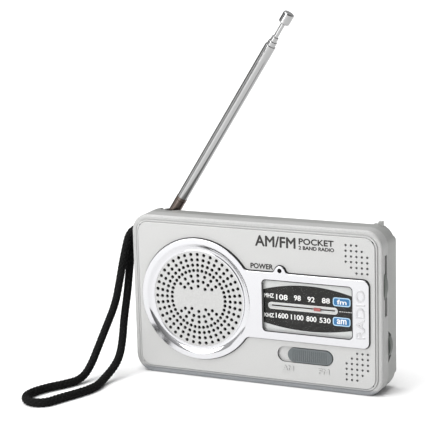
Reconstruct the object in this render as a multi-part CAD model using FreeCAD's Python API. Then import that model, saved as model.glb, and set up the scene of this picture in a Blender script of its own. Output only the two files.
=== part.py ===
import FreeCAD, Part
import math
import os

# Transistor pocket radio, in millimetres.
# +X is to the right, +Y to the back, +Z up; the origin is the centre of the bottom face.
V = FreeCAD.Vector

# Case
CASE_W = 117.0
CASE_H = 72.0
CASE_R = 8.0
BACK_Y = 9.5
PART_Y = -1.7
EDGE_Y = -8.3
PANEL_Y = -9.0
TRIM_Y = -10.1
WALL = 1.6
FRONT_IN_Y = PANEL_Y + WALL
BACK_IN_Y = BACK_Y - WALL

# Speaker grille and trim
SPK = (-26.25, 36.0)
GRILLE_Y = -9.5
GRILLE_R = 21.4
TRIM_R = 27.2
DISH_R = 24.8
HOLE_R = 0.77
RING_R = (20.0, 17.62, 15.24, 12.85)
ARC_ROWS = ((10.5, 7), (8.1, 7), (5.7, 3))

# Dial
WIN = (4.2, 45.7, 24.6, 47.8)
FRAME = (-10.0, 52.85, 21.2, 50.9)
TRIM_GAP = 0.35
LED = (12.7, 52.0)
SLOT = (7.2, 37.9, 35.3, 36.9)
SLIT_Z = 36.1
POINTER_X = 29.16

# Wheels
TUNE = (46.4, 47.8)
TUNE_R = 13.0
DRUM_R = 9.05
CORD_R = 0.25
CORD_Y = -3.55
PULLEY_R = 2.0
PULLEY_X = 6.5
VOL = (50.5, 20.7)
VOL_R = 9.0

# Band switch
RECESS = (10.65, 36.4, 11.55, 18.55)
KNOB = (15.45, 36.1, 11.85, 18.25)
KNOB_TRAVEL = 4.4

# Cells and door
CELL_R = 5.25
CELL_Y = 2.35
CELL_Z = (8.0, 19.3)
CELL_X = (-5.1, 38.4)
DOOR = (-10.7, 41.3, 3.4, 25.9)
HINGE_YZ = (8.7, 3.4)

# Antenna
PIVOT = V(-45.96, 7.0, 69.3)
TILT = 57.25
POCKET_R = 5.1
GROOVE_Y = 4.2
GROOVE_Z = 66.5

# Screws
CASE_SCREWS = ((-51.0, 5.0), (48.0, 5.2), (-53.0, 56.0), (20.0, 63.0))
BOARD_SCREWS = ((3.5, 66.0), (31.0, 66.0), (44.2, 11.0))

# Wrist strap
STRAP_R = 1.8
STRAP_HOLE_Z = 63.6
STRAP = (
    (-56.5, 1.0, 63.6), (-61.0, 1.0, 63.6), (-65.0, 0.8, 60.3), (-66.0, -0.6, 54.8),
    (-66.7, -3.0, 47.9), (-67.7, -5.2, 38.5), (-68.6, -8.0, 29.5), (-71.1, -12.6, 20.0),
    (-72.1, -19.4, 11.8), (-71.6, -27.0, 6.0), (-72.0, -35.0, 2.0), (-75.4, -43.0, 1.9),
    (-80.9, -50.9, 1.9), (-84.0, -60.3, 1.9), (-81.9, -67.0, 1.9), (-76.2, -70.6, 1.9),
    (-70.5, -68.6, 1.9), (-68.2, -61.6, 1.9), (-63.8, -52.0, 1.9), (-60.8, -42.0, 1.9),
    (-62.6, -32.0, 2.1), (-61.3, -24.6, 5.6), (-62.2, -17.4, 8.6), (-63.7, -11.5, 14.2),
    (-65.4, -6.2, 22.6), (-65.3, -2.4, 33.0), (-65.5, 1.0, 44.0), (-65.6, 3.4, 53.0),
    (-64.8, 5.0, 60.4), (-61.0, 5.3, 63.6), (-56.5, 5.3, 63.6),
)


def box(x0, x1, y0, y1, z0, z1):
    return Part.makeBox(x1 - x0, y1 - y0, z1 - z0, V(x0, y0, z0))


def cyl_x(y, z, r, x0, x1):
    return Part.makeCylinder(r, x1 - x0, V(x0, y, z), V(1, 0, 0))


def cyl_y(x, z, r, y0, y1):
    return Part.makeCylinder(r, y1 - y0, V(x, y0, z), V(0, 1, 0))


def cyl_z(x, y, r, z0, z1):
    return Part.makeCylinder(r, z1 - z0, V(x, y, z0), V(0, 0, 1))


def plate(x0, x1, z0, z1, r, y0, y1):
    """A plate facing Y with rounded corners."""
    solid = box(x0, x1, y0, y1, z0, z1)
    corners = [e for e in solid.Edges if e.BoundBox.YLength > (y1 - y0) * 0.9]
    return solid.makeFillet(r, corners)


def stadium(x0, x1, z0, z1, y0, y1):
    return plate(x0, x1, z0, z1, (z1 - z0) / 2 - 0.001, y0, y1)


def edges_at(solid, y):
    found = []
    for edge in solid.Edges:
        b = edge.BoundBox
        if abs(b.YMin - y) < 0.01 and abs(b.YMax - y) < 0.01:
            found.append(edge)
    return found


def soften(solid, y, r):
    """Round the edges that lie in the plane Y = y."""
    return solid.makeFillet(r, edges_at(solid, y))


def outline(d, y0, y1):
    """The case outline, inset by d."""
    return plate(d - CASE_W / 2, CASE_W / 2 - d, d, CASE_H - d, CASE_R - d, y0, y1)


def turned(points, x, z):
    """Revolve an (r, y) outline about the Y axis through (x, z)."""
    wire = Part.makePolygon([V(r, y, 0) for r, y in points + points[:1]])
    solid = Part.Face(wire).revolve(V(0, 0, 0), V(0, 1, 0), 360)
    solid.translate(V(x, 0, z))
    return solid


def fused(shapes):
    first = shapes[0]
    return first.fuse(shapes[1:]) if len(shapes) > 1 else first


def tube_path(points, report):
    """Straight runs joined by tangent arcs, each as large as its runs allow."""
    pts = [V(*p) for p in points]
    runs = [pts[i + 1] - pts[i] for i in range(len(pts) - 1)]
    edges = []
    start = pts[0]
    radii = []
    for i in range(1, len(pts) - 1):
        a = V(runs[i - 1]).normalize()
        b = V(runs[i]).normalize()
        half = a.getAngle(b) / 2
        back = 0.45 * min(runs[i - 1].Length, runs[i].Length)
        p = pts[i] - a * back
        q = pts[i] + b * back
        radius = back / math.tan(half)
        radii.append(radius)
        middle = V(b - a).normalize()
        apex = pts[i] + middle * (radius / math.cos(half) - radius)
        edges.append(Part.LineSegment(start, p).toShape())
        edges.append(Part.Arc(p, apex, q).toShape())
        start = q
    edges.append(Part.LineSegment(start, pts[-1]).toShape())
    if report:
        print(report, "radii", [round(r, 1) for r in radii])
        print(report, "runs", [round(r.Length, 1) for r in runs])
    return Part.Wire(edges)


def tube(points, r, report=None):
    path = tube_path(points, report)
    start = V(*points[0])
    direction = V(*points[1]) - start
    ring = Part.Wire(Part.makeCircle(r, start, direction))
    solid = path.makePipeShell([ring], True, False)
    if report:
        ideal = math.pi * r * r * path.Length
        print(report, "length", round(path.Length, 1), "volume", round(solid.Volume / ideal, 4))
    return solid


def save(name, shape):
    shape.exportStep("parts/" + name + ".step")
    print(name, len(shape.Solids), round(shape.Volume, 1), shape.isValid())


# Case ------------------------------------------------------------------------

def front_shell():
    body = soften(outline(0, EDGE_Y, PART_Y), EDGE_Y, 1.0)
    bead = soften(outline(2.2, -8.65, -8.2), -8.65, 0.3)
    panel = soften(outline(3.2, PANEL_Y, -8.2), PANEL_Y, 0.3)
    groove = outline(1.95, -8.5, -8.1).cut(outline(2.2, -8.6, -8.0))
    step = outline(3.0, -9.2, -8.4).cut(outline(3.2, -9.3, -8.3))
    body = body.cut(groove).fuse(bead.cut(outline(3.0, -9.2, -8.0)).fuse(panel))
    body = body.cut(outline(WALL, FRONT_IN_Y, PART_Y + 0.1))
    body = body.cut(step)
    floor_back = stadium(RECESS[0] - 1.2, RECESS[1] + 1.2, RECESS[2] - 1.2, RECESS[3] + 1.2,
                         FRONT_IN_Y, -7.0)
    adds = [floor_back]
    for x, z in CASE_SCREWS:
        adds.append(cyl_y(x, z, 2.6, FRONT_IN_Y, 0.0))
    for x, z in BOARD_SCREWS:
        adds.append(cyl_y(x, z, 2.0, FRONT_IN_Y, -2.9))
    body = body.fuse(adds)
    cuts = [cyl_y(SPK[0], SPK[1], 20.8, -9.5, -7.0)]
    cuts.append(cyl_y(SPK[0], SPK[1], GRILLE_R, -9.5, -8.6))
    cuts.append(box(4.0, 45.9, -9.5, -7.0, 24.4, 48.0))
    cuts.append(trim_plan(TRIM_GAP, -9.2, -8.4).cut(trim_plan(0.0, -9.3, -8.3)))
    cuts.append(stadium(*RECESS, -9.5, -8.0))
    cuts.append(box(20.0, 28.0, -8.1, -6.9, 14.1, 16.7))
    cuts.append(cyl_y(LED[0], LED[1], 1.6, -9.5, -7.0))
    cuts.append(box(CASE_W / 2 - 2.0, CASE_W / 2 + 1, -5.8, -2.9, 34.65, 61.0))
    cuts.append(cyl_y(TUNE[0], TUNE[1], TUNE_R + 0.35, -7.1, -3.7))
    for x, z in CASE_SCREWS:
        cuts.append(cyl_y(x, z, 1.2, -5.0, 0.1))
    for x, z in BOARD_SCREWS:
        cuts.append(cyl_y(x, z, 0.9, -6.0, -2.8))
    body = body.cut(cuts)
    return body.cut(dimples())


def dimples():
    """Two groups of shallow dimples that fade out towards the dial."""
    spans = ((1, 3), (1, 4), (1, 5), (1, 5), (2, 5), (3, 5))
    found = []
    for row, (first, last) in enumerate(spans):
        for col in range(first, last + 1):
            x = 42.4 + 2.39 * (col - 1)
            z = 65.3 - 2.37 * row
            found.append(cyl_y(x, z, 0.52, -9.5, -8.3))
            found.append(cyl_y(x, CASE_H - z, 0.52, -9.5, -8.3))
    return found


def speaker_grille():
    holes = []
    for r in RING_R:
        for k in range(40):
            holes.append((r, 90 + 9 * k))
    for r, count in ARC_ROWS:
        pitch = 18 if count == 7 else 36
        for k in range(count):
            offset = (k - (count - 1) / 2) * pitch
            holes.append((r, 90 + offset))
            holes.append((r, 270 + offset))
    disc = Part.makeCircle(GRILLE_R, V(SPK[0], GRILLE_Y, SPK[1]), V(0, 1, 0))
    wires = [Part.Wire(disc)]
    for r, deg in holes:
        x = SPK[0] + r * math.cos(math.radians(deg))
        z = SPK[1] + r * math.sin(math.radians(deg))
        wires.append(Part.Wire(Part.makeCircle(HOLE_R, V(x, GRILLE_Y, z), V(0, 1, 0))))
    face = Part.makeFace(wires, "Part::FaceMakerBullseye")
    return face.extrude(V(0, -8.6 - GRILLE_Y, 0))


def web(cx, cz, r, line_z, fillet, side, sign, y0, y1):
    """The material of a fillet between a circle and a level line it stands above."""
    fz = line_z + sign * fillet
    fx = cx + side * math.sqrt((r + fillet) ** 2 - (fz - cz) ** 2)
    tz = cz + (fz - cz) * r / (r + fillet)
    x0, x1 = sorted((cx, fx))
    z0, z1 = sorted((line_z - sign * 1.0, tz))
    block = box(x0, x1, y0, y1, z0, z1)
    return block.cut(cyl_y(fx, fz, fillet, y0 - 1, y1 + 1))


def trim_plan(grow, y0, y1):
    """The trim's outline, grown by a small margin."""
    x0, x1, low, high = FRAME
    low -= grow
    high += grow
    parts = [plate(x0, x1 + grow, low, high, 2.7 + grow, y0, y1)]
    parts.append(cyl_y(SPK[0], SPK[1], TRIM_R + grow, y0, y1))
    parts.append(web(SPK[0], SPK[1], TRIM_R + grow, high, 3.0 - grow, 1, 1, y0, y1))
    parts.append(web(SPK[0], SPK[1], TRIM_R + grow, low, 3.0 - grow, 1, -1, y0, y1))
    parts.append(cyl_y(LED[0], 51.35, 2.6 + grow, y0, y1))
    parts.append(web(LED[0], 51.35, 2.6 + grow, high, 2.0 - grow, 1, 1, y0, y1))
    parts.append(web(LED[0], 51.35, 2.6 + grow, high, 2.0 - grow, -1, 1, y0, y1))
    return fused(parts).removeSplitter()


def dish():
    """The hollow in front of the grille: a hollow curve between the rim and a small lip."""
    rim = V(DISH_R, TRIM_Y, 0)
    foot = V(21.95, -9.23, 0)
    middle = V(23.52, -9.47, 0)
    corners = [foot, V(21.95, -9.65, 0), V(GRILLE_R, -9.65, 0), V(GRILLE_R, -8, 0), V(0, -8, 0),
               V(0, -12, 0), V(DISH_R, -12, 0), rim]
    wire = Part.Wire([Part.makePolygon(corners), Part.Arc(rim, middle, foot).toShape()])
    solid = Part.Face(wire).revolve(V(0, 0, 0), V(0, 1, 0), 360)
    solid.translate(V(SPK[0], 0, SPK[1]))
    return solid


def chrome_trim():
    body = soften(trim_plan(0.0, TRIM_Y, PANEL_Y), TRIM_Y, 0.3)
    opening = plate(*WIN, 1.9, TRIM_Y - 0.5, PANEL_Y + 0.5)
    return body.cut([dish(), opening, cyl_y(LED[0], LED[1], 1.0, -11, -8)])


def dial_window():
    x0, x1, z0, z1 = WIN
    lens = plate(x0 + 0.25, x1 - 0.25, z0 + 0.25, z1 - 0.25, 1.7, -9.9, -9.2)
    return soften(lens, -9.9, 0.3)


def dial_scale():
    scale = box(4.05, 45.85, -8.6, -8.0, 24.45, 47.95)
    slit = box(SLOT[0] + 0.8, SLOT[1] - 0.8, -9, -7.5, SLIT_Z - 0.3, SLIT_Z + 0.3)
    return scale.cut([stadium(*SLOT, -9, -8.3), slit])


def dial_pointer():
    x = POINTER_X
    block = plate(x - 1.55, x + 1.55, SLIT_Z - 0.75, SLIT_Z + 0.75, 0.3, -9.0, -8.7)
    block = soften(block, -9.0, 0.12)
    neck = box(x - 0.6, x + 0.6, -8.7, -7.6, SLIT_Z - 0.18, SLIT_Z + 0.18)
    arm = box(x - 0.6, x + 0.6, -7.6, -3.1, 35.2, 36.8)
    riser = box(x - 0.6, x + 0.6, -3.95, -3.1, 36.8, 39.2)
    riser = riser.cut(cyl_x(CORD_Y, TUNE[1] - DRUM_R - 0.3, CORD_R + 0.12, x - 1, x + 1))
    return fused([block, neck, arm, riser])


def rear_shell():
    body = soften(outline(0, PART_Y, BACK_Y), BACK_Y, 3.5)
    panel = soften(plate(-58.45, 58.45, 5.4, 67.0, 2.4, 5.5, BACK_Y), BACK_Y, 1.0)
    body = body.fuse(panel)
    body = body.cut(outline(WALL, PART_Y - 0.1, BACK_IN_Y))
    ribs = [box(-50.0, 56.9, 3.0, BACK_IN_Y, 65.2, 70.4)]
    ribs.append(cyl_z(PIVOT.x, PIVOT.y, 6.8, 64.6, 70.4))
    ribs.append(cyl_z(PIVOT.x, PIVOT.y, 3.6, 60.0, 65.0))
    liner = fused(ribs).common(outline(0.8, -1.0, BACK_Y - 0.8))
    cells = box(-10.2, 40.8, -4.1, BACK_IN_Y, 1.6, 26.0)
    posts = [cyl_y(x, z, 2.6, 0.0, BACK_IN_Y) for x, z in CASE_SCREWS]
    body = body.fuse([liner, cells] + posts)
    cuts = [box(-9.2, 39.8, -3.1, BACK_Y + 1, 2.4, 25.0)]
    cuts.append(box(-11.0, 41.6, 8.4, BACK_Y + 1, 2.3, 26.2))
    cuts.append(box(-11.0, 41.6, 7.8, BACK_Y + 1, 2.3, 4.6))
    cuts.append(cyl_x(HINGE_YZ[0], HINGE_YZ[1], 0.55, -11.8, 42.4))
    cuts.append(box(PIVOT.x, 50.0, GROOVE_Y, 11, GROOVE_Z, 73))
    cuts.append(cyl_z(PIVOT.x, PIVOT.y, POCKET_R, 66.0, 73))
    cuts.append(box(PIVOT.x - 3.2, PIVOT.x + 3.2, PIVOT.y, 11, 66.0, 73))
    cuts.append(cyl_z(PIVOT.x, PIVOT.y, 1.75, 60.6, 67))
    cuts.append(cyl_y(VOL[0], VOL[1], VOL_R + 0.4, -1.8, 1.8))
    cuts.append(cyl_x(-5.12, VOL[1], 7.8, CASE_W / 2 - 2.0, CASE_W / 2 + 1))
    cuts.append(cyl_x(2.5, 12.0, 2.8, -60, -56.8))
    slot = box(-60, -56.0, 1.0, 5.3, STRAP_HOLE_Z - 2.0, STRAP_HOLE_Z + 2.0)
    cuts.append(slot)
    cuts.append(cyl_x(1.0, STRAP_HOLE_Z, 2.0, -60, -56.0))
    cuts.append(cyl_x(5.3, STRAP_HOLE_Z, 2.0, -60, -56.0))
    for x, z in CASE_SCREWS:
        cuts.append(cyl_y(x, z, 1.25, -0.1, BACK_Y))
        cuts.append(cyl_y(x, z, 2.4, 8.3, BACK_Y + 1))
    body = body.cut(cuts)
    peg = box(52.2, 54.2, 4.2, 5.6, 70.0, 73.5)
    tips = [e for e in peg.Edges if e.BoundBox.ZMin > 73.3]
    return body.fuse(peg.makeFillet(0.4, tips))


def battery_door():
    x0, x1, z0, z1 = DOOR
    door = box(x0, x1, 8.5, BACK_Y, z0, z1)
    barrel = cyl_x(HINGE_YZ[0], HINGE_YZ[1], 0.8, x0, x1)
    pins = cyl_x(HINGE_YZ[0], HINGE_YZ[1], 0.5, x0 - 1.0, x1 + 1.0)
    door = fused([door, barrel, pins])
    cuts = []
    for k in range(5):
        z = 19.0 + 1.1 * k
        cuts.append(cyl_x(BACK_Y, z, 0.3, 10.0, 20.6))
    return door.cut(cuts)


def case_screws():
    found = []
    for x, z in CASE_SCREWS:
        head = cyl_y(x, z, 2.2, 8.3, 9.3)
        shank = cyl_y(x, z, 1.2, -4.8, 8.3)
        cross = [box(x - 1.3, x + 1.3, 8.8, 9.4, z - 0.3, z + 0.3)]
        cross.append(box(x - 0.3, x + 0.3, 8.8, 9.4, z - 1.3, z + 1.3))
        found.append(head.fuse(shank).cut(cross))
    return Part.makeCompound(found)


# Speaker ---------------------------------------------------------------------

def speaker_cloth():
    return cyl_y(SPK[0], SPK[1], 22.3, FRONT_IN_Y, -7.2)


def speaker_frame():
    points = [(19.6, -7.2), (22.5, -7.2), (22.5, -5.7), (20.5, -5.7), (12.4, -1.9), (12.4, -1.0),
              (4.5, -1.0), (4.5, -1.9), (11.6, -1.9), (19.6, -5.8)]
    return turned(points, *SPK)


def speaker_cone():
    points = [(0.0, -4.9), (4.5, -3.9), (5.0, -3.7), (19.4, -6.8), (19.4, -6.4), (5.0, -3.3),
              (4.3, -3.4), (0.0, -4.4)]
    return turned(points, *SPK)


def speaker_magnet():
    return cyl_y(SPK[0], SPK[1], 11.0, -1.0, 3.2)


# Board -----------------------------------------------------------------------

def circuit_board():
    board = box(-1, 56.2, -2.9, -1.9, 27.5, 69.5).fuse(box(42, 56.2, -2.9, -1.9, 9, 27.5))
    board = board.common(outline(2.2, -3, -1.8))
    cuts = [cyl_y(20.0, 63.0, 2.9, -4, 0), cyl_y(*TUNE, 3.4, -4, 0), cyl_y(*VOL, 2.0, -4, 0)]
    for x, z in BOARD_SCREWS:
        cuts.append(cyl_y(x, z, 1.0, -4, 0))
    return board.cut(cuts)


def board_screws():
    found = []
    for x, z in BOARD_SCREWS:
        found.append(cyl_y(x, z, 1.8, -1.9, -1.1).fuse(cyl_y(x, z, 0.9, -5.8, -1.9)))
    return Part.makeCompound(found)


def tuning_capacitor():
    x, z = TUNE
    body = box(x - 10, x + 10, -1.9, 7.0, z - 10, z + 10)
    return body.cut(cyl_y(x, z, 3.05, -2, 1.05))


def if_transformers():
    found = [box(x, x + 7, -1.9, 6.0, z, z + 7) for x, z in ((24, 30), (24, 40), (14, 30))]
    return Part.makeCompound(found)


def electrolytics():
    found = [cyl_y(x, z, 2.5, -1.9, 6.0) for x, z in ((4, 33), (4, 41), (10.5, 41))]
    return Part.makeCompound(found)


def ferrite_rod():
    return cyl_x(3.0, 61.4, 3.0, -36.0, 12.0)


def ferrite_coil():
    return cyl_x(3.0, 61.4, 3.6, -30.0, -6.0).cut(cyl_x(3.0, 61.4, 3.0, -31, -5))


def power_led():
    x, z = LED
    body = fused([cyl_y(x, z, 0.95, -9.9, -8.4), cyl_y(x, z, 1.5, -8.4, -6.4)])
    body = soften(body, -9.9, 0.6)
    legs = [box(x - 0.9, x - 0.5, -6.4, -2.9, z - 0.2, z + 0.2)]
    legs.append(box(x + 0.5, x + 0.9, -6.4, -2.9, z - 0.2, z + 0.2))
    return body.fuse(legs)


def earphone_jack():
    body = box(-56.9, -44.9, -0.5, 5.5, 9.0, 15.0)
    body = body.fuse(cyl_x(2.5, 12.0, 2.8, -58.3, -56.9))
    return body.cut(cyl_x(2.5, 12.0, 1.8, -59, -46.0))


# Tuning drive ----------------------------------------------------------------

def knurl(x, z, r, y0, y1, count):
    found = []
    for k in range(count):
        a = 2 * math.pi * (k + 0.5) / count
        found.append(cyl_y(x + (r + 0.12) * math.cos(a), z + (r + 0.12) * math.sin(a), 0.25,
                           y0 - 0.1, y1 + 0.1))
    return found


def tuning_wheel():
    x, z = TUNE
    wheel = cyl_y(x, z, TUNE_R, -6.9, -4.0).fuse(cyl_y(x, z, DRUM_R, -4.0, -3.1))
    cuts = [cyl_y(x, z, 11.0, -7, -5.6).cut(cyl_y(x, z, 4.0, -8, -5))]
    cuts.append(cyl_y(x, z, 3.0, -4.5, -3))
    cuts.append(cyl_y(x, z, 1.0, -7, -4))
    cuts.append(cyl_y(x, z, 4.5, -7, -6.1))
    return wheel.cut(cuts + knurl(x, z, TUNE_R, -6.9, -4.0, 96))


def tuning_shaft():
    x, z = TUNE
    return cyl_y(x, z, 3.0, -4.5, 1.0).cut(cyl_y(x, z, 1.0, -5, -2.4))


def tuning_screw():
    x, z = TUNE
    return cyl_y(x, z, 2.0, -6.8, -6.1).fuse(cyl_y(x, z, 1.0, -6.1, -2.5))


def cord_loop():
    r = PULLEY_R + 0.05 + CORD_R
    big = DRUM_R + 0.05 + CORD_R
    low = TUNE[1] - big
    high = TUNE[1] + big
    left = PULLEY_X - r
    h = math.sqrt(0.5)
    p = [V(TUNE[0], CORD_Y, low), V(PULLEY_X, CORD_Y, low), V(left, CORD_Y, low + r),
         V(left, CORD_Y, high - r), V(PULLEY_X, CORD_Y, high), V(TUNE[0], CORD_Y, high)]
    edges = [Part.LineSegment(p[0], p[1]).toShape()]
    edges.append(Part.Arc(p[1], V(PULLEY_X - r * h, CORD_Y, low + r - r * h), p[2]).toShape())
    edges.append(Part.LineSegment(p[2], p[3]).toShape())
    edges.append(Part.Arc(p[3], V(PULLEY_X - r * h, CORD_Y, high - r + r * h), p[4]).toShape())
    edges.append(Part.LineSegment(p[4], p[5]).toShape())
    edges.append(Part.Arc(p[5], V(TUNE[0] + big, CORD_Y, TUNE[1]), p[0]).toShape())
    return Part.Wire(edges)


def dial_cord():
    path = cord_loop()
    start = V(TUNE[0], CORD_Y, TUNE[1] - DRUM_R - 0.05 - CORD_R)
    ring = Part.Wire(Part.makeCircle(CORD_R, start, V(-1, 0, 0)))
    return path.makePipeShell([ring], True, False)


def dial_pulleys():
    r = PULLEY_R + 0.05 + CORD_R
    big = DRUM_R + 0.05 + CORD_R
    found = []
    for z in (TUNE[1] - big + r, TUNE[1] + big - r):
        found.append(cyl_y(PULLEY_X, z, PULLEY_R, -4.0, -3.1).fuse(cyl_y(PULLEY_X, z, 0.7, -4.3, -2.9)))
    return Part.makeCompound(found)


# Volume and band switch ------------------------------------------------------

def volume_control():
    return cyl_y(*VOL, 6.0, -6.6, -2.9).cut(cyl_y(*VOL, 1.55, -6.1, -2.8))


def volume_shaft():
    return cyl_y(*VOL, 1.5, -6.0, 0.9)


def volume_wheel():
    wheel = cyl_y(*VOL, VOL_R, -1.5, 1.5).cut(cyl_y(*VOL, 1.5, -2, 0.9))
    return wheel.cut(knurl(VOL[0], VOL[1], VOL_R, -1.5, 1.5, 66))


def band_knob():
    x0, x1, z0, z1 = KNOB
    knob = soften(stadium(x0, x1, z0, z1, -9.3, -8.1), -9.3, 0.3)
    cuts = []
    for k in range(17):
        x = (x0 + x1) / 2 + (k - 8) * 0.95
        cuts.append(cyl_z(x, -9.45, 0.3, z0 + 0.8, z1 - 0.8))
    return knob.cut(cuts)


def band_slider():
    stem = box(24.7, 27.7, -8.1, -6.8, 14.4, 16.4)
    base = box(18.0, 32.0, -6.8, -6.0, 12.0, 18.5)
    arm = box(24.4, 28.0, -6.8, -6.0, 18.5, 31.2)
    return fused([stem, base, arm]).cut(box(25.2, 27.2, -7, -5.9, 29.3, 30.7))


def switch_lever():
    return box(25.2, 27.2, -7.0, -5.75, 29.3, 30.7)


def slide_switch():
    return box(20.5, 30.5, -5.7, -2.9, 28.2, 32.0)


# Cells -----------------------------------------------------------------------

def cell(z, flip):
    x0, x1 = CELL_X
    body = cyl_x(CELL_Y, z, CELL_R, x0, x1).fuse(cyl_x(CELL_Y, z, 1.9, x1, x1 + 1.0))
    if flip:
        body = body.mirror(V((-9.2 + 39.8) / 2, 0, 0), V(1, 0, 0))
    return body


def battery_contacts():
    found = []
    for z, side in ((CELL_Z[0], 0), (CELL_Z[1], 1)):
        found.append(box(39.4, 39.8, -1.2, 5.9, z - 4, z + 4))
        found.append(box(-9.2, -8.8, -1.2, 5.9, z - 4, z + 4))
        for k in range(3):
            x = (39.05 - 1.1 * k) if side else (-8.45 + 1.1 * k)
            ring = Part.makeTorus(3.6 - 0.5 * k, 0.35, V(x, CELL_Y, z), V(1, 0, 0))
            found.append(ring)
    return Part.makeCompound(found)


def lead_wires():
    red = tube(((-16.0, 0.6, 49.0), (-13.0, 2.0, 52.0), (-7.0, 2.6, 53.5), (-1.5, 1.8, 51.0),
                (0.6, 0.5, 48.5), (0.6, -1.9, 48.5)), 0.5)
    black = tube(((-17.4, 1.0, 50.6), (-14.0, 2.6, 54.0), (-7.6, 3.2, 56.0), (-1.0, 2.2, 54.0),
                  (1.4, 0.5, 52.6), (1.4, -1.9, 52.6)), 0.5)
    return Part.makeCompound([red, black])


# Antenna ---------------------------------------------------------------------

def antenna_base():
    x, y, z = PIVOT.x, PIVOT.y, PIVOT.z
    stud = cyl_z(x, y, 1.7, 60.6, 66.0).fuse(cyl_z(x, y, 4.7, 66.0, 66.6))
    shroud = cyl_z(x, y, 4.7, 66.6, 71.2).cut(cyl_z(x, y, 3.3, 66, 72))
    stud = stud.fuse(shroud.cut(box(x - 0.5, x + 6, y - 6, y + 6, 66.6, 72)))
    stud = stud.common(box(x - 6, x + 6, y - 6, 10.2, 60, 72))
    tang = box(x - 2, x + 2, y - 0.7, y + 0.7, 66.6, z).fuse(cyl_y(x, z, 2.0, y - 0.7, y + 0.7))
    return stud.fuse(tang).cut(cyl_y(x, z, 0.83, y - 2, y + 2))


def raised(shape):
    """Place a shape drawn along +X from the pivot at the antenna's resting tilt."""
    shape.rotate(V(0, 0, 0), V(0, 1, 0), -TILT)
    shape.translate(PIVOT)
    return shape


def antenna_pin():
    return raised(cyl_y(0, 0, 0.8, -2.4, 2.4))


def antenna_knuckle():
    ears = []
    for y in (0.8, -2.3):
        ears.append(cyl_y(0, 0, 2.2, y, y + 1.5))
        ears.append(box(0, 2.6, y, y + 1.5, -2.2, 2.2))
    ears = fused(ears).common(cyl_x(0, 0, 2.6, -3, 2.6))
    body = ears.fuse([cyl_x(0, 0, 2.5, 2.6, 9.7), cyl_x(0, 0, 2.15, 9.7, 13.5)])
    ring = cyl_x(0, 0, 3, 8.2, 8.5).cut(cyl_x(0, 0, 2.3, 8, 9))
    return raised(body.cut([cyl_y(0, 0, 0.8, -3, 3), ring]))


def antenna_tube(x0, x1, outer, inner, mouth, collar, collar_r):
    """A thin tube with a rolled-in mouth and a collar that guides its inner end."""
    body = cyl_x(0, 0, outer, x0, x1)
    tip = [e for e in body.Edges if e.BoundBox.XMin > x1 - 0.01]
    body = body.makeFillet(0.22, tip[:1])
    if collar:
        body = body.fuse(cyl_x(0, 0, collar_r, x0, x0 + collar))
    body = body.cut([cyl_x(0, 0, inner, x0 - 1, x1 - 0.9), cyl_x(0, 0, mouth, x1 - 1, x1 + 1)])
    return raised(body)


def antenna_rod():
    return raised(cyl_x(0, 0, 1.0, 23, 105).fuse(cyl_x(0, 0, 1.2, 23, 26)))


def antenna_cap():
    cap = cyl_x(0, 0, 2.45, 102.3, 107.5)
    ends = [e for e in cap.Edges if e.BoundBox.XLength < 0.01]
    cap = cap.makeFillet(0.7, ends)
    return raised(cap.cut(cyl_x(0, 0, 1.0, 102, 105)))


# Wrist strap -----------------------------------------------------------------

def strap_knot():
    knot = box(-56.5, -53.4, -0.9, 7.2, 61.0, 65.9)
    return knot.makeFillet(0.8, [e for e in knot.Edges if e.BoundBox.XMin > -54])


def wrist_strap():
    return tube(STRAP, STRAP_R, "wrist strap")


os.makedirs("parts", exist_ok=True)
save("front_shell", front_shell())
save("rear_shell", rear_shell())
save("speaker_grille", speaker_grille())
save("chrome_trim", chrome_trim())
save("dial_window", dial_window())
save("dial_scale", dial_scale())
save("dial_pointer", dial_pointer())
save("battery_door", battery_door())
save("case_screws", case_screws())
save("speaker_cloth", speaker_cloth())
save("speaker_frame", speaker_frame())
save("speaker_cone", speaker_cone())
save("speaker_magnet", speaker_magnet())
save("circuit_board", circuit_board())
save("board_screws", board_screws())
save("tuning_capacitor", tuning_capacitor())
save("if_transformers", if_transformers())
save("electrolytics", electrolytics())
save("ferrite_rod", ferrite_rod())
save("ferrite_coil", ferrite_coil())
save("power_led", power_led())
save("earphone_jack", earphone_jack())
save("tuning_wheel", tuning_wheel())
save("tuning_shaft", tuning_shaft())
save("tuning_screw", tuning_screw())
save("dial_cord", dial_cord())
save("dial_pulleys", dial_pulleys())
save("volume_control", volume_control())
save("volume_shaft", volume_shaft())
save("volume_wheel", volume_wheel())
save("band_knob", band_knob())
save("band_slider", band_slider())
save("switch_lever", switch_lever())
save("slide_switch", slide_switch())
save("battery_1", cell(CELL_Z[0], False))
save("battery_2", cell(CELL_Z[1], True))
save("battery_contacts", battery_contacts())
save("lead_wires", lead_wires())
save("antenna_base", antenna_base())
save("antenna_pin", antenna_pin())
save("antenna_knuckle", antenna_knuckle())
save("antenna_tube_1", antenna_tube(9.7, 91.1, 2.4, 2.15, 2.0, 0, 0))
save("antenna_tube_2", antenna_tube(15.0, 93.2, 1.95, 1.7, 1.55, 3.0, 2.1))
save("antenna_tube_3", antenna_tube(19.0, 95.4, 1.5, 1.25, 1.05, 3.0, 1.65))
save("antenna_rod", antenna_rod())
save("antenna_cap", antenna_cap())
save("strap_knot", strap_knot())
save("wrist_strap", wrist_strap())
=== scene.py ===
import math

import bpy
from mathutils import Matrix, Vector


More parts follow.
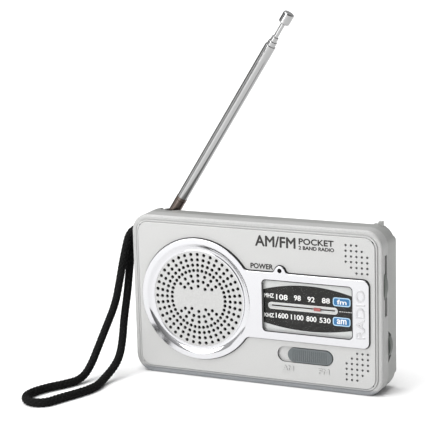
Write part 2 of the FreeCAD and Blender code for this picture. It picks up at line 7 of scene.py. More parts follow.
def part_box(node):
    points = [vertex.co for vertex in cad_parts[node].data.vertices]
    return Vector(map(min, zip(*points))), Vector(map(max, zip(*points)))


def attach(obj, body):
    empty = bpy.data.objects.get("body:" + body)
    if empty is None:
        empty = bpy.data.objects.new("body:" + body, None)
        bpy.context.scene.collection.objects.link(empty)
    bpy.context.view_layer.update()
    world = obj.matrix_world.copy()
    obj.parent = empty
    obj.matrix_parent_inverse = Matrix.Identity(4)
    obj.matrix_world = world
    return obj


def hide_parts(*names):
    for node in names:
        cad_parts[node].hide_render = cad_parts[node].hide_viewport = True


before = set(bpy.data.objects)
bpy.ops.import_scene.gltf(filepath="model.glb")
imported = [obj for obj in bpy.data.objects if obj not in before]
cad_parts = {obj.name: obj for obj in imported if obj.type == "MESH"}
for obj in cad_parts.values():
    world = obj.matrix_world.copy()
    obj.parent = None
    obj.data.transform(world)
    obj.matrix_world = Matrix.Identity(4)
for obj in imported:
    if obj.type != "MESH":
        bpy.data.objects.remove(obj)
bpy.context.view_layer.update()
MM = 0.001

# The camera stands at the front right, a little above the radio. Angles are in degrees, its place
# and clip in metres, its lens and sensor in mm.
AZIMUTH = 24.97
ELEVATION = 12.49
ROLL = -1.464
CAMERA_AT = (0.28229, -0.64363, 0.22549)
LENS = 134.0
SENSOR_WIDTH = 36.0
CLIP_START = 0.05

# Planes that prints and raised letters sit on, in metres along Y.
PANEL_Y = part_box("speaker_grille")[0].y + 0.5 * MM
TRIM_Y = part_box("chrome_trim")[0].y
SCALE_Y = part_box("dial_scale")[0].y

# The studio's light on the object, and its brightness as the camera sees it, which is plain white.
WORLD_LEVEL = 0.55
WORLD_SEEN = 1.6

# Parts of the studio that are darker than the rest: which way they lie, the cosines at which
# their fade begins and is complete, and the share of the light left there.
WORLD_DARK = (
    ((0.9, -0.45, 0.1), 0.2, 0.9, 0.35),
    ((-0.75, 0.65, 0.05), 0.80, 0.90, 0.06),
)

# Area lights: name, place, what they point at, size in metres and power in watts.
AREA_LIGHTS = (
    ("key", (-0.55, -1.0, 0.45), (0.0, 0.0, 0.04), 0.7, 9.0),
    ("left", (-1.3, -0.45, 0.32), (0.0, 0.0, 0.10), 0.36, 0.35),
)

# The soft light from overhead: its strength, how wide it is in radians, and its tilt about X and
# Y in degrees. The floor's half side is in metres.
SUN_ENERGY = 3.0
SUN_ANGLE = 1.2
SUN_TILT = (8, -14)
FLOOR_HALF = 6.0

# The wrist strap: its section, its real length, how finely it is made, its braid with the
# share of the section that the valleys take away, and its route in mm.
STRAP_WIDTH = 3.9 * MM
STRAP_THICKNESS = 3.7 * MM
STRAP_STEPS = 36
STRAP_SIDES = 40
BRAID_STRANDS = 6
BRAID_PITCH = 2.0 * MM
BRAID_RELIEF = 0.36
STRAP_ROUTE = (
    (-56.5, 1.0, 63.6), (-61.0, 1.0, 63.6), (-65.0, 0.8, 60.3), (-66.0, -0.6, 54.8),
    (-66.7, -3.0, 47.9), (-67.7, -5.2, 38.5), (-68.6, -8.0, 29.5), (-71.1, -12.6, 20.0),
    (-72.1, -19.4, 11.8), (-71.6, -27.0, 6.0), (-72.0, -35.0, 2.0), (-75.4, -43.0, 1.9),
    (-80.9, -50.9, 1.9), (-84.0, -60.3, 1.9), (-81.9, -67.0, 1.9), (-76.2, -70.6, 1.9),
    (-70.5, -68.6, 1.9), (-68.2, -61.6, 1.9), (-63.8, -52.0, 1.9), (-60.8, -42.0, 1.9),
    (-62.6, -32.0, 2.1), (-61.3, -24.6, 5.6), (-62.2, -17.4, 8.6), (-63.7, -11.5, 14.2),
    (-65.4, -6.2, 22.6), (-65.3, -2.4, 33.0), (-65.5, 1.0, 44.0), (-65.6, 3.4, 53.0),
    (-64.8, 5.0, 60.4), (-61.0, 5.3, 63.6), (-56.5, 5.3, 63.6),
)

# Where painted shade darkens the silver paint, in mm: in the grooves and dimples, on the bezel and
# along the bottom. Boxes are x0, x1, z0, z1.
PANEL_BOX = (-55.3, 55.3, 3.2, 68.8)
WELL_BOX = (-54.5, 54.5, 4.5, 67.5)
HOLLOW_Y = (-8.85, -8.2)
DIMPLES_X = (36, 52)
DIMPLES_GAP_Z = (20, 52)
BOTTOM_FADE_Z = (3.6, 1.6)
DIMPLE_SHADE = (0.36, 0.36, 0.36)
GROOVE_SHADE = (0.10, 0.10, 0.10)
BEZEL_SHADE = (0.86, 0.86, 0.86)
BOTTOM_SHADE = (0.57, 0.595, 0.63)

# The trim: the middle of its speaker ring, the ring's inner radius in mm, and the largest Y of the
# normal of a wall that runs front to back. Walls outside the ring are painted black, as painted
# shade and dark reflection.
RING_CENTRE = (-26.25, 36.0)
RING_INNER = 25.2
WALL_NORMAL = 0.5
WALL_SHADE = (0.02, 0.02, 0.02)

# Prints and letters: a print's thickness, how far raised letters stand proud, how deep all
# letters are sunk, the step between the copies of a bold letter, and how finely curves are cut.
PRINT_LAYER = 0.02 * MM
TRIM_LETTERS = 0.2 * MM
PANEL_LETTERS = 0.3 * MM
LETTER_SINK = 0.01 * MM
LETTER_STEP = 0.0005 * MM
LETTER_CURVE_STEPS = 4

# The black dial band in mm: its sides, the heights of its edges in the middle, and how far the
# edges come together at the sides.
BAND_LEFT = 4.3
BAND_RIGHT = 45.6
BAND_WIDTH = 41.3
BAND_BOTTOM = 26.0
BAND_TOP = 46.0
BAND_BOTTOM_RISE = 2.3
BAND_TOP_FALL = 3.0
BAND_STEPS = 25

# Rounded boxes on the dial in mm: x0, x1, z0, z1 and the corner's radius.
SLOT_HOLE = (7.2, 37.9, 35.3, 36.9, 0.79)
SLOT_FRAME = (6.55, 38.5, 34.55, 37.65, 1.54)
# A black ring in the gap between window and trim, painted shade where that gap lies in shadow.
SHADE_RING_OUTSIDE = (4.22, 45.68, 24.62, 47.78, 1.88)
SHADE_RING_INSIDE = (4.6, 45.3, 25.0, 47.4, 1.55)
SHADE_RING_SINK = 0.17 * MM
SHADE_RING_THICKNESS = 0.03 * MM

# The dial's numbers: how bold they are in mm, then name, text and the box that the text fills.
DIAL_BOLD = 0.06
DIAL_TEXTS = (
    ("mhz", "MHZ", (4.8, 9.2, 39.5, 41.3)),
    ("khz", "KHZ", (4.7, 9.1, 30.8, 32.5)),
    ("fm_108", "108", (10.4, 15.6, 38.95, 41.25)),
    ("fm_98", "98", (18.65, 21.65, 39.25, 41.45)),
    ("fm_92", "92", (24.8, 28.0, 39.15, 41.35)),
    ("fm_88", "88", (31.4, 34.9, 39.2, 41.4)),
    ("am_1600", "1600", (10.05, 15.7, 30.75, 32.95)),
    ("am_1100", "1100", (17.1, 22.75, 30.65, 32.85)),
    ("am_800", "800", (24.2, 28.7, 30.55, 32.75)),
    ("am_530", "530", (30.2, 35.1, 30.5, 32.7)),
)

# The badges: text and lower left corner in mm, then the boxes of outline, fill and text from
# that corner, with the radii of outline and fill.
BADGES = (("fm", 36.3, 38.4), ("am", 36.2, 29.8))
BADGE_EDGE = (0.0, 7.9, 0.0, 3.8)
BADGE_EDGE_RADIUS = 1.1
BADGE_FILL = (0.4, 7.5, 0.4, 3.4)
BADGE_FILL_RADIUS = 0.75
BADGE_TEXT = (1.9, 6.1, 0.9, 2.9)
BADGE_BOLD = 0.07

# The row of dashes in mm: where it starts, its pitch, and one dash.
DASH_COUNT = 6
DASH_START = 39.2
DASH_PITCH = 1.0
DASH_LENGTH = 0.65
DASH_Z = (36.0, 36.25)
DASH_RADIUS = 0.1

# Prints on the panel: name, text, the box that the text fills in mm, and its boldness.
PANEL_TEXTS = (
    ("print_am_fm", "AM/FM", (1.3, 19.7, 62.0, 66.6), 0.18),
    ("print_pocket", "POCKET", (21.4, 37.0, 64.1, 66.6), 0.14),
    ("print_two_band", "2 BAND RADIO", (21.3, 37.2, 61.85, 63.35), 0.11),
    ("print_power", "POWER", (-1.1, 9.2, 52.05, 54.2), 0.13),
)

# Raised letters: the box that each word fills in mm and its boldness. RADIO reads upwards.
RADIO_BOX = (47.2, 51.0, 25.4, 46.4)
RADIO_BOLD = 0.12
BAND_LETTERS = (
    ("letters_am", "AM", (12.9, 18.0, 7.9, 10.1)),
    ("letters_fm", "FM", (29.6, 34.4, 7.9, 10.1)),
)
BAND_LETTERS_BOLD = 0.10

# A noise value stays between these nearly everywhere.
NOISE_LOW = 0.3
NOISE_HIGH = 0.7

# Sockets of a mix node that have no name of their own: A, B and the result.
MIX_FLOAT = (2, 3, 0)
MIX_COLOR = (6, 7, 2)


# Materials -------------------------------------------------------------------

def shader(name, color, roughness, metallic=0.0, **sockets):
    """A new material, its node tree and its shader, with values set on the shader's sockets."""
    mat = bpy.data.materials.new(name)
    mat.use_nodes = True
    bsdf = mat.node_tree.nodes["Principled BSDF"]
    bsdf.inputs["Base Color"].default_value = (*color, 1.0)
    bsdf.inputs["Roughness"].default_value = roughness
    bsdf.inputs["Metallic"].default_value = metallic
    for key, value in sockets.items():
        bsdf.inputs[key.replace("_", " ")].default_value = value
    mat.diffuse_color = (*color, 1.0)
    return mat, mat.node_tree, bsdf


def node(tree, kind, **settings):
    """A new node with its settings."""
    made = tree.nodes.new(kind)
    for key, value in settings.items():
        setattr(made, key, value)
    return made


def noise(tree, size, detail=2.0, stretch=(1, 1, 1)):
    """Noise whose features are about size metres across."""
    place = node(tree, "ShaderNodeTexCoord")
    mapping = node(tree, "ShaderNodeMapping")
    mapping.inputs["Scale"].default_value = stretch
    tex = node(tree, "ShaderNodeTexNoise")
    tex.inputs["Scale"].default_value = 1.0 / size
    tex.inputs["Detail"].default_value = detail
    tree.links.new(place.outputs["Object"], mapping.inputs["Vector"])
    tree.links.new(mapping.outputs["Vector"], tex.inputs["Vector"])
    return tex.outputs["Fac"]


def ramp(tree, source, low, high, start=NOISE_LOW, end=NOISE_HIGH):
    """A colour that runs from low to high as source does."""
    made = node(tree, "ShaderNodeValToRGB")
    made.color_ramp.elements[0].position = start
    made.color_ramp.elements[1].position = end
    made.color_ramp.elements[0].color = (*low, 1.0)
    made.color_ramp.elements[1].color = (*high, 1.0)
    tree.links.new(source, made.inputs["Fac"])
    return made.outputs["Color"]


def spread(tree, source, low, high):
    """A number that runs from low to high as source does."""
    made = node(tree, "ShaderNodeMapRange")
    made.inputs["From Min"].default_value = NOISE_LOW
    made.inputs["From Max"].default_value = NOISE_HIGH
    made.inputs["To Min"].default_value = low
    made.inputs["To Max"].default_value = high
    tree.links.new(source, made.inputs["Value"])
    return made.outputs["Result"]


def bump(tree, bsdf, height, depth):
    """Let height, from 0 to 1, raise the surface by up to depth metres."""
    made = node(tree, "ShaderNodeBump")
    made.inputs["Distance"].default_value = depth
    made.inputs["Strength"].default_value = 1.0
    tree.links.new(height, made.inputs["Height"])
    tree.links.new(made.outputs["Normal"], bsdf.inputs["Normal"])


def between(tree, value, low, high):
    """1 where value lies from low to high, and 0 elsewhere."""
    over = node(tree, "ShaderNodeMath", operation="GREATER_THAN")
    under = node(tree, "ShaderNodeMath", operation="LESS_THAN")
    both = node(tree, "ShaderNodeMath", operation="MULTIPLY")
    over.inputs[1].default_value = low
    under.inputs[1].default_value = high
    tree.links.new(value, over.inputs[0])
    tree.links.new(value, under.inputs[0])
    tree.links.new(over.outputs[0], both.inputs[0])
    tree.links.new(under.outputs[0], both.inputs[1])
    return both.outputs[0]


def inside(tree, x, z, box):
    """1 where x and z lie in box, (x0, x1, z0, z1) in mm, and 0 elsewhere."""
    x0, x1, z0, z1 = (value * MM for value in box)
    return product(tree, between(tree, x, x0, x1), between(tree, z, z0, z1))


def product(tree, first, second):
    made = node(tree, "ShaderNodeMath", operation="MULTIPLY")
    tree.links.new(first, made.inputs[0])
    tree.links.new(second, made.inputs[1])
    return made.outputs[0]


def object_axes(tree, output):
    """X, Y and Z of the object's own coordinates or normal."""
    place = node(tree, "ShaderNodeTexCoord")
    parts = node(tree, "ShaderNodeSeparateXYZ")
    tree.links.new(place.outputs[output], parts.inputs[0])
    return parts.outputs


def less(tree, first, second):
    """first less second, where first is a number or a socket."""
    made = node(tree, "ShaderNodeMath", operation="SUBTRACT")
    if isinstance(first, float):
        made.inputs[0].default_value = first
    else:
        tree.links.new(first, made.inputs[0])
    tree.links.new(second, made.inputs[1])
    return made.outputs[0]


def darken(tree, bsdf, mask, tint):
    """Multiply the surface's colour by tint where mask is 1."""
    mix = node(tree, "ShaderNodeMix", data_type="RGBA", blend_type="MULTIPLY")
    plain, tinted, result = MIX_COLOR
    source = bsdf.inputs["Base Color"]
    mix.inputs[plain].default_value = source.default_value
    if source.is_linked:
        tree.links.new(source.links[0].from_socket, mix.inputs[plain])
    mix.inputs[tinted].default_value = (*tint, 1.0)
    tree.links.new(mask, mix.inputs["Factor"])
    tree.links.new(mix.outputs[result], source)


def shade(color, factor):
    """color made darker or lighter by factor."""
    return tuple(min(1.0, c * factor) for c in color)


def mottled(name, color, roughness, metallic=0.0, vary=0.06, grain=0.4 * MM, depth=0.004 * MM,
            rough_vary=0.05, **sockets):
    """A surface with fine grain in its colour, roughness and height."""
    mat, tree, bsdf = shader(name, color, roughness, metallic, **sockets)
    fine = noise(tree, grain, detail=3.0)
    broad = noise(tree, size=14 * MM, detail=3.0)
    tint = ramp(tree, fine, shade(color, 1 - vary), shade(color, 1 + vary))
    tree.links.new(tint, bsdf.inputs["Base Color"])
    gloss = spread(tree, broad, roughness - rough_vary, roughness + rough_vary)
    tree.links.new(gloss, bsdf.inputs["Roughness"])
    bump(tree, bsdf, fine, depth)
    return mat


def brushed(name, color, roughness, stretch):
    """Metal with fine lines along one direction."""
    mat, tree, bsdf = shader(name, color, roughness, 1.0)
    lines = noise(tree, size=0.25 * MM, stretch=stretch)
    gloss = spread(tree, lines, low=roughness * 0.6, high=roughness * 1.5)
    tree.links.new(gloss, bsdf.inputs["Roughness"])
    bump(tree, bsdf, lines, depth=0.0015 * MM)
    return mat


def silver_paint_and_shade():
    """Silver paint with painted shade: darker in the grooves and dimples, on the bezel and along
    the bottom.
    """
    mat = mottled("silver paint and shade", (0.43, 0.43, 0.425), 0.54, 0.16, vary=0.11, grain=0.30 * MM,
                  depth=0.008 * MM)
    tree = mat.node_tree
    bsdf = tree.nodes["Principled BSDF"]
    x, y, z = object_axes(tree, "Object")
    panel = inside(tree, x, z, PANEL_BOX)
    well = inside(tree, x, z, WELL_BOX)
    hollows = product(tree, well, between(tree, y, HOLLOW_Y[0] * MM, HOLLOW_Y[1] * MM))
    beside = between(tree, x, DIMPLES_X[0] * MM, DIMPLES_X[1] * MM)
    gap = between(tree, z, DIMPLES_GAP_Z[0] * MM, DIMPLES_GAP_Z[1] * MM)
    middle = product(tree, beside, gap)
    dimples = product(tree, hollows, less(tree, beside, middle))
    # Painted shade in the dimples and in the grooves and recess walls.
    darken(tree, bsdf, dimples, DIMPLE_SHADE)
    darken(tree, bsdf, less(tree, hollows, dimples), GROOVE_SHADE)
    # Painted shade on the bezel around the panel.
    darken(tree, bsdf, less(tree, 1.0, panel), BEZEL_SHADE)
    # Painted shade, darker towards the bottom of the front shell.
    lower = node(tree, "ShaderNodeMapRange", interpolation_type="SMOOTHSTEP")
    lower.inputs["From Min"].default_value = BOTTOM_FADE_Z[0] * MM
    lower.inputs["From Max"].default_value = BOTTOM_FADE_Z[1] * MM
    tree.links.new(z, lower.inputs["Value"])
    darken(tree, bsdf, lower.outputs["Result"], BOTTOM_SHADE)
    return mat


def rear_plastic():
    return mottled("rear plastic", (0.285, 0.288, 0.28), 0.46, 0.2, vary=0.06, grain=0.35 * MM,
                   depth=0.010 * MM)


def plated(name="plated trim and shade", color=(0.555, 0.555, 0.57), roughness=0.11):
    """Bright plating with a slight waviness."""
    mat, tree, bsdf = shader(name, color, roughness, 1.0)
    wide = noise(tree, size=9 * MM)
    gloss = spread(tree, wide, low=roughness * 0.7, high=roughness * 1.5)
    tree.links.new(gloss, bsdf.inputs["Roughness"])
    bump(tree, bsdf, wide, depth=0.010 * MM)
    return mat


def trim_plating_and_shade():
    """Bright plating whose walls are painted black all round as painted shade and dark reflection,
    apart from those inside the speaker ring.
    """
    mat = plated()
    tree = mat.node_tree
    bsdf = tree.nodes["Principled BSDF"]
    x, _, z = object_axes(tree, "Object")
    wall = between(tree, object_axes(tree, "Normal")[1], -WALL_NORMAL, WALL_NORMAL)
    place = node(tree, "ShaderNodeCombineXYZ")
    tree.links.new(x, place.inputs[0])
    tree.links.new(z, place.inputs[2])
    away = node(tree, "ShaderNodeVectorMath", operation="DISTANCE")
    away.inputs[1].default_value = (RING_CENTRE[0] * MM, 0.0, RING_CENTRE[1] * MM)
    tree.links.new(place.outputs[0], away.inputs[0])
    outside = between(tree, away.outputs["Value"], RING_INNER * MM, 1.0)
    mask = product(tree, wall, outside)
    # Painted shade: the walls are painted black in place of their dark reflection and shadow.
    darken(tree, bsdf, mask, WALL_SHADE)
    tree.links.new(less(tree, 1.0, mask), bsdf.inputs["Metallic"])
    return mat


def clear_window():
    """Clear plastic with a faint haze in its gloss."""
    mat, tree, bsdf = shader("clear window", (0.02, 0.02, 0.02), 0.04, Alpha=0.03,
                             Specular_IOR_Level=0.22)
    haze = noise(tree, size=6 * MM)
    tree.links.new(spread(tree, haze, low=0.02, high=0.07), bsdf.inputs["Roughness"])
    return mat


def braid_fibre():
    """Black yarn with a few pale fibres."""
    mat, tree, bsdf = shader("strap fibre", (0.010, 0.010, 0.009), 0.85, Specular_IOR_Level=0.08)
    fibre = noise(tree, size=0.12 * MM, detail=3.0, stretch=(1, 1, 0.4))
    tint = ramp(tree, fibre, (0.006, 0.006, 0.006), (0.16, 0.16, 0.155), start=0.62, end=0.85)
    tree.links.new(tint, bsdf.inputs["Base Color"])
    bump(tree, bsdf, fibre, depth=0.05 * MM)
    return mat


def paint(name, material):
    """Give a CAD node its material in every slot."""
    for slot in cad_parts[name].material_slots:
        slot.material = material


# Mesh helpers ----------------------------------------------------------------

def piece(name, verts, faces, material, body, smooth=False):
    """A mesh that rides on a body, with the material given."""
    mesh = bpy.data.meshes.new(name)
    mesh.from_pydata([tuple(v) for v in verts], [], faces)
    mesh.update()
    made = bpy.data.objects.new(name, mesh)
    bpy.context.scene.collection.objects.link(made)
    mesh.materials.append(material)
    for face in mesh.polygons:
        face.use_smooth = smooth
    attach(made, body)
    return made


def slab(name, outline, front, thickness, material, body, hole=None):
    """A thin flat piece facing the front, from an outline of (x, z) in mm and an optional hole
    with the same number of points."""
    count = len(outline)
    back = front + thickness
    rings = [outline] if hole is None else [outline, hole]
    verts = []
    for ring in rings:
        verts += [(x * MM, front, z * MM) for x, z in ring]
        verts += [(x * MM, back, z * MM) for x, z in ring]
    faces = []
    for k in range(count):
        n = (k + 1) % count
        faces.append((k, k + count, n + count, n))
        if hole is not None:
            a, b = 2 * count, 3 * count
            faces.append((k + a, n + a, n + b, k + b))
            faces.append((k, n, n + a, k + a))
            faces.append((k + count, k + b, n + b, n + count))
    if hole is None:
        faces.append(tuple(range(count)))
        faces.append(tuple(range(2 * count - 1, count - 1, -1)))
    return piece(name, verts, faces, material, body)


def rounded(x0, x1, z0, z1, r, steps=8):
    """The outline of a rectangle with rounded corners, anticlockwise seen from the front."""
    points = []
    for cx, cz, start in ((x1 - r, z0 + r, -90), (x1 - r, z1 - r, 0), (x0 + r, z1 - r, 90),
                          (x0 + r, z0 + r, 180)):
        for k in range(steps + 1):
            a = math.radians(start + 90 * k / steps)
            points.append((cx + r * math.cos(a), cz + r * math.sin(a)))
    return points


def lettering(name, text, box, y, raise_by, material, bold=0.0, turn=0.0):
    """Flat letters that fill box, (x0, x1, z0, z1) in mm, standing raise_by proud of y, and turned
    by turn degrees. bold, in mm, widens each stroke by copies of the letters set to its sides."""
    curve = bpy.data.curves.new(name, "FONT")
    curve.body = text
    curve.extrude = 0.5
    curve.resolution_u = LETTER_CURVE_STEPS
    maker = bpy.data.objects.new(name + "_curve", curve)
    bpy.context.scene.collection.objects.link(maker)
    bpy.context.view_layer.update()
    mesh = bpy.data.meshes.new_from_object(maker)
    bpy.data.objects.remove(maker)
    mesh.transform(Matrix.Rotation(math.radians(turn), 4, "Z"))
    lo = [min(v.co[i] for v in mesh.vertices) for i in range(2)]
    hi = [max(v.co[i] for v in mesh.vertices) for i in range(2)]
    x0, x1, z0, z1 = (value * MM for value in box)
    verts = []
    faces = []
    shifts = ((0, 0), (bold, 0), (-bold, 0), (0, bold), (0, -bold)) if bold else ((0, 0),)
    for k, (across, up) in enumerate(shifts):
        first = len(verts)
        for v in mesh.vertices:
            x = x0 + (v.co.x - lo[0]) / (hi[0] - lo[0]) * (x1 - x0) + across * MM
            z = z0 + (v.co.y - lo[1]) / (hi[1] - lo[1]) * (z1 - z0) + up * MM
            front = y - raise_by - k * LETTER_STEP
            verts.append((x, front if v.co.z > 0 else y + LETTER_SINK, z))
        faces += [tuple(first + i for i in face.vertices) for face in mesh.polygons]
    bpy.data.meshes.remove(mesh)
    return piece(name, verts, faces, material, "case")


# Camera, light and floor -----------------------------------------------------

def make_camera():
    data = bpy.data.cameras.new("camera")
    data.lens = LENS
    data.sensor_width = SENSOR_WIDTH
    data.clip_start = CLIP_START
    camera = bpy.data.objects.new("camera", data)
    bpy.context.scene.collection.objects.link(camera)
    turn = Matrix.Rotation(math.radians(AZIMUTH), 4, "Z")
    tip = Matrix.Rotation(math.radians(90 - ELEVATION), 4, "X")
    roll = Matrix.Rotation(math.radians(ROLL), 4, "Z")
    camera.matrix_world = Matrix.Translation(CAMERA_AT) @ turn @ tip @ roll
    bpy.context.scene.camera = camera


def area_light(name, place, aim, size, power):
    """A round lamp at place that points at aim."""
    data = bpy.data.lights.new(name, "AREA")
    data.shape = "DISK"
    data.size = size
    data.energy = power
    lamp = bpy.data.objects.new(name, data)
    bpy.context.scene.collection.objects.link(lamp)
    lamp.location = place
    way = Vector(aim) - Vector(place)
    lamp.rotation_mode = "QUATERNION"
    lamp.rotation_quaternion = way.to_track_quat("-Z", "Y")


def make_world():
    """Plain pale light from all round, darker where WORLD_DARK says, and white to the camera."""
    world = bpy.data.worlds.new("studio")
    world.use_nodes = True
    tree = world.node_tree
    way = node(tree, "ShaderNodeTexCoord").outputs["Generated"]
    level = node(tree, "ShaderNodeValue").outputs[0]
    level.default_value = WORLD_LEVEL
    for aim, begin, complete, dark in WORLD_DARK:
        dot = node(tree, "ShaderNodeVectorMath", operation="DOT_PRODUCT")
        dot.inputs[1].default_value = Vector(aim).normalized()
        tree.links.new(way, dot.inputs[0])
        fade = node(tree, "ShaderNodeMapRange", interpolation_type="SMOOTHSTEP")
        fade.inputs["From Min"].default_value = begin
        fade.inputs["From Max"].default_value = complete
        fade.inputs["To Min"].default_value = 1.0
        fade.inputs["To Max"].default_value = dark
        tree.links.new(dot.outputs["Value"], fade.inputs["Value"])
        level = product(tree, level, fade.outputs["Result"])
    mix = node(tree, "ShaderNodeMix", data_type="FLOAT")
    lit, seen, result = MIX_FLOAT
    mix.inputs[seen].default_value = WORLD_SEEN
    tree.links.new(level, mix.inputs[lit])
    tree.links.new(node(tree, "ShaderNodeLightPath").outputs["Is Camera Ray"], mix.inputs[0])
    background = tree.nodes["Background"]
    tree.links.new(mix.outputs[result], background.inputs["Strength"])
    background.inputs["Color"].default_value = (1.0, 1.0, 1.0, 1.0)
    bpy.context.scene.world = world
    bpy.context.scene.view_settings.view_transform = "Standard"


def make_lights():
    for name, place, aim, size, power in AREA_LIGHTS:
        area_light(name, place, aim, size, power)
    data = bpy.data.lights.new("overhead", "SUN")
    data.energy = SUN_ENERGY
    data.angle = SUN_ANGLE
    lamp = bpy.data.objects.new("overhead", data)
    bpy.context.scene.collection.objects.link(lamp)
    lamp.rotation_euler = (math.radians(SUN_TILT[0]), math.radians(SUN_TILT[1]), 0)


def make_floor():
    low = -FLOOR_HALF
    high = FLOOR_HALF
    mesh = bpy.data.meshes.new("floor")
    corners = [(low, low, 0), (high, low, 0), (high, high, 0), (low, high, 0)]
    mesh.from_pydata(corners, [], [(0, 1, 2, 3)])
    floor = bpy.data.objects.new("floor", mesh)
    bpy.context.scene.collection.objects.link(floor)
    mesh.materials.append(mottled("floor paper", (0.93, 0.93, 0.93), 0.8, vary=0.01,
                                  grain=2 * MM, depth=0.002 * MM))


# Wrist strap -----------------------------------------------------------------

def spline_points(name, route, steps):
    """The points of the smooth curve whose control points are the route's."""
    curve = bpy.data.curves.new(name, "CURVE")
    curve.dimensions = "3D"
    spline = curve.splines.new("NURBS")
    spline.points.add(len(route) - 1)
    for point, place in zip(spline.points, route):
        point.co = (*(value * MM for value in place), 1.0)
    spline.order_u = 3
    spline.use_endpoint_u = True
    spline.resolution_u = steps
    maker = bpy.data.objects.new(name, curve)
    bpy.context.scene.collection.objects.link(maker)
    bpy.context.view_layer.update()
    mesh = bpy.data.meshes.new_from_object(maker)
    points = [v.co.copy() for v in mesh.vertices]
    bpy.data.objects.remove(maker)
    return points


def braid_height(around, along):
    """Height up to 1 of a braid whose strands cross over and under, where around and along count
    strands. Its valleys lie at a quarter, and a strand is a little lower where it goes under."""
    a = around + along
    b = around - along
    over = math.cos(math.pi * (math.floor(a) + math.floor(b)))
    u = a - math.floor(a)
    v = b - math.floor(b)
    strand = math.sin(math.pi * (u if over > 0 else v))
    other = math.sin(math.pi * (v if over > 0 else u))
    return 0.25 + 0.75 * strand ** 0.6 * (0.55 + 0.45 * other)


def swept_braid(path):
    """Vertices and faces of the strap along path, whose wide side starts out facing along Y."""
    sides = STRAP_SIDES
    verts = []
    distance = 0.0
    wide = Vector((0, 1, 0))
    for k, point in enumerate(path):
        ahead = path[min(k + 1, len(path) - 1)]
        behind = path[max(k - 1, 0)]
        way = (ahead - behind).normalized()
        if k:
            distance += (point - path[k - 1]).length
        wide = (wide - way * wide.dot(way)).normalized()
        thin = way.cross(wide)
        for s in range(sides):
            a = 2 * math.pi * s / sides
            lift = braid_height(BRAID_STRANDS * s / sides, distance / BRAID_PITCH)
            edge = 1.0 - BRAID_RELIEF * (1.0 - lift)
            across = wide * math.cos(a) * STRAP_WIDTH / 2
            through = thin * math.sin(a) * STRAP_THICKNESS / 2
            verts.append(point + (across + through) * edge)
    faces = []
    for k in range(len(path) - 1):
        for s in range(sides):
            n = (s + 1) % sides
            faces.append((k * sides + s, k * sides + n, (k + 1) * sides + n, (k + 1) * sides + s))
    faces.append(tuple(range(sides - 1, -1, -1)))
    last = (len(path) - 1) * sides
    faces.append(tuple(range(last, last + sides)))
    return verts, faces


def wrist_strap():
    path = spline_points("strap route", STRAP_ROUTE, STRAP_STEPS)
    verts, faces = swept_braid(path)
    strap = piece("wrist_strap_braid", verts, faces, braid_fibre(), "case", True)
    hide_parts("wrist_strap")


# Dial ------------------------------------------------------------------------

def band_outline():
    """The dial band's outline: its lower edge from left to right, then its upper edge back."""
    low = []
    high = []
    for k in range(BAND_STEPS + 1):
        across = BAND_WIDTH * k / BAND_STEPS
        bow = (2 * k / BAND_STEPS - 1) ** 2
        low.append((BAND_LEFT + across, BAND_BOTTOM + BAND_BOTTOM_RISE * bow))
        high.append((BAND_RIGHT - across, BAND_TOP - BAND_TOP_FALL * bow))
    return low + high


def slot_outline():
    """The slot's outline with as many points as the band's, from its lower left corner on."""
    steps = (2 * (BAND_STEPS + 1)) // 4 - 1
    points = rounded(*SLOT_HOLE, steps)
    start = 3 * (steps + 1)
    return points[start:] + points[:start]


def shifted(box, x, z):
    """box, (x0, x1, z0, z1), moved by x and z."""
    return box[0] + x, box[1] + x, box[2] + z, box[3] + z


def dial_prints():
    ink = mottled("dial black", (0.014, 0.014, 0.013), 0.55, vary=0.15, Specular_IOR_Level=0.25)
    white = mottled("dial white", (0.78, 0.78, 0.77), 0.5, vary=0.02)
    grey = mottled("slot frame", (0.52, 0.52, 0.51), 0.45, 0.1, vary=0.04)
    shade_ring = mottled("window shade ring", (0.015, 0.015, 0.015), 0.6, vary=0.1)
    layer = PRINT_LAYER
    face = SCALE_Y - layer
    slab("dial_band", band_outline(), face, layer, ink, "case", slot_outline())
    slab("dial_slot_frame", rounded(*SLOT_FRAME), face - 2 * layer, 3 * layer, grey, "case",
         rounded(*SLOT_HOLE))
    # The black ring around the window is painted shade in the gap between window and trim.
    slab("window_shade_ring", rounded(*SHADE_RING_OUTSIDE), TRIM_Y + SHADE_RING_SINK, SHADE_RING_THICKNESS,
         shade_ring, "case", rounded(*SHADE_RING_INSIDE))
    for name, text, box in DIAL_TEXTS:
        lettering("dial_" + name, text, box, face, layer, white,
                  bold=DIAL_BOLD)
    badges(white, face - layer)
    for k in range(DASH_COUNT):
        x = DASH_START + DASH_PITCH * k
        dash = rounded(x, x + DASH_LENGTH, *DASH_Z, DASH_RADIUS, 2)
        slab("dial_dash_%d" % k, dash, face - layer, layer, white, "case")


def badges(white, front):
    """The blue fm and am badges with a pale outline."""
    layer = PRINT_LAYER
    blue = mottled("badge blue", (0.014, 0.135, 0.31), 0.5, vary=0.08)
    sky = mottled("badge outline", (0.42, 0.62, 0.80), 0.4, vary=0.04)
    for text, x, z in BADGES:
        edge = rounded(*shifted(BADGE_EDGE, x, z), BADGE_EDGE_RADIUS, 5)
        fill = rounded(*shifted(BADGE_FILL, x, z), BADGE_FILL_RADIUS, 5)
        slab("badge_edge_" + text, edge, front, layer, sky, "case", fill)
        slab("badge_" + text, fill, front, layer, blue, "case")
        lettering("badge_text_" + text, text, shifted(BADGE_TEXT, x, z), front, layer, white,
                  bold=BADGE_BOLD)


def panel_prints():
    ink = mottled("panel ink", (0.012, 0.010, 0.009), 0.6, vary=0.15)
    for name, text, box, bold in PANEL_TEXTS:
        lettering(name, text, box, PANEL_Y, PRINT_LAYER, ink, bold)


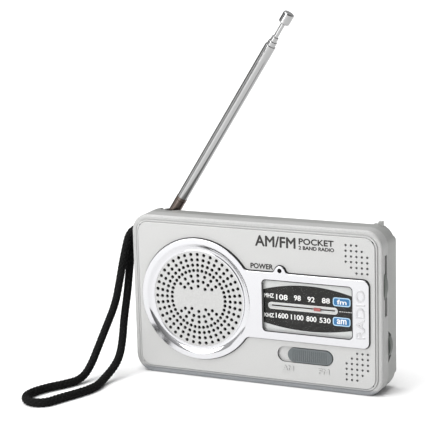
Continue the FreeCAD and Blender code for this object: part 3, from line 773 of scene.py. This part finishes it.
def raised_letters():
    frosted = plated("frosted plating", (0.46, 0.46, 0.47), 0.30)
    silver_and_shade = bpy.data.materials["silver paint and shade"]
    lettering("letters_radio", "RADIO", RADIO_BOX, TRIM_Y, TRIM_LETTERS, frosted,
              bold=RADIO_BOLD, turn=90.0)
    for name, text, box in BAND_LETTERS:
        lettering(name, text, box, PANEL_Y, PANEL_LETTERS, silver_and_shade,
                  bold=BAND_LETTERS_BOLD)


# The whole radio -------------------------------------------------------------

def finish_nodes():
    """Give every CAD node its finish."""
    silver_and_shade = silver_paint_and_shade()
    rear = rear_plastic()
    trim_and_shade = trim_plating_and_shade()
    steel = brushed("plated steel", (0.55, 0.55, 0.56), 0.28, (1, 6, 1))
    dark = mottled("black plastic", (0.03, 0.03, 0.03), 0.45, vary=0.15)
    wheel = mottled("wheel plastic", (0.085, 0.095, 0.085), 0.42, vary=0.12, depth=0.01 * MM)
    knob = mottled("knob plastic", (0.088, 0.100, 0.104), 0.5, vary=0.08)
    antenna = plated("antenna plating", (0.34, 0.34, 0.34), 0.09)
    collar = plated("collar plating", (0.16, 0.13, 0.115), 0.22)
    brass = brushed("brass", (0.65, 0.48, 0.2), 0.3, (1, 6, 1))
    tin = brushed("tinned cans", (0.6, 0.6, 0.58), 0.3, (1, 1, 5))
    finishes = {
        silver_and_shade: ("front_shell", "speaker_grille"),
        rear: ("rear_shell", "battery_door", "antenna_base"),
        trim_and_shade: ("chrome_trim",),
        clear_window(): ("dial_window",),
        mottled("dial plate", (0.54, 0.55, 0.545), 0.45, vary=0.03): ("dial_scale",),
        mottled("pointer red", (0.30, 0.075, 0.07), 0.4, vary=0.06): ("dial_pointer",),
        steel: ("case_screws", "board_screws", "tuning_screw", "battery_contacts",
                "speaker_frame", "antenna_pin"),
        mottled("speaker cloth", (0.012, 0.012, 0.012), 0.9, vary=0.3): ("speaker_cloth",),
        mottled("cone paper", (0.05, 0.05, 0.048), 0.8, vary=0.2): ("speaker_cone",),
        mottled("magnet", (0.08, 0.08, 0.085), 0.6, vary=0.15): ("speaker_magnet",),
        mottled("board laminate", (0.12, 0.07, 0.03), 0.5, vary=0.12): ("circuit_board",),
        mottled("capacitor case", (0.75, 0.72, 0.62), 0.35, vary=0.04): ("tuning_capacitor",),
        tin: ("if_transformers", "volume_control", "slide_switch"),
        mottled("blue sleeve", (0.02, 0.03, 0.12), 0.35, vary=0.1): ("electrolytics",),
        mottled("ferrite", (0.05, 0.05, 0.05), 0.55, vary=0.2): ("ferrite_rod",),
        brushed("enamelled wire", (0.55, 0.2, 0.07), 0.35, (8, 1, 1)): ("ferrite_coil",),
        mottled("lamp", (0.004, 0.003, 0.003), 0.6, vary=0.1,
                Specular_IOR_Level=0.1): ("power_led",),
        dark: ("earphone_jack", "dial_pulleys", "band_slider", "switch_lever"),
        wheel: ("tuning_wheel", "volume_wheel"),
        brass: ("tuning_shaft", "volume_shaft"),
        mottled("drive cord", (0.6, 0.57, 0.48), 0.8, vary=0.15): ("dial_cord",),
        knob: ("band_knob",),
        mottled("cell sleeve", (0.06, 0.07, 0.10), 0.35, vary=0.1): ("battery_1", "battery_2"),
        mottled("wire insulation", (0.35, 0.02, 0.02), 0.4, vary=0.08): ("lead_wires",),
        collar: ("antenna_knuckle",),
        antenna: ("antenna_tube_1", "antenna_tube_2", "antenna_tube_3", "antenna_rod",
                  "antenna_cap"),
        mottled("strap end", (0.015, 0.015, 0.015), 0.8, vary=0.2): ("strap_knot",),
    }
    for material, nodes in finishes.items():
        for name in nodes:
            paint(name, material)


make_camera()
wrist_strap()
make_world()
make_lights()
make_floor()
finish_nodes()
dial_prints()
panel_prints()
raised_letters()
